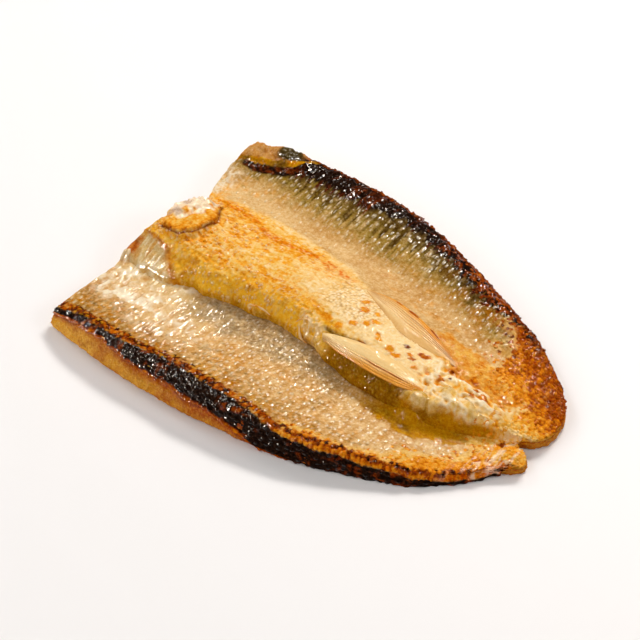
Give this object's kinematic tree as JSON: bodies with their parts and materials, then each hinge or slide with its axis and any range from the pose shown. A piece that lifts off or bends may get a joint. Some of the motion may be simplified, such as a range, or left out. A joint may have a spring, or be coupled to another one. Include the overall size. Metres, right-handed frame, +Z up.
{
  "type": "pan-fried milkfish belly",
  "caption": "Boned milkfish belly, opened flat and pan-fried, lying skin side up with charred margins, a golden middle ridge and its pelvic fins laid back.",
  "frame": {"origin": "centre of the piece's box in plan, on the flat flesh side that it rests on", "axes": "+X from the head cut to the tail, +Y from the near flank to the far flank, +Z up through the skin"},
  "size_m": [0.1844, 0.133, 0.0225],
  "materials": {
    "fried_skin": "glossy"
  },
  "bodies": {
    "root": {"milkfish_belly": "fried_skin"}
  },
  "joints": []
}
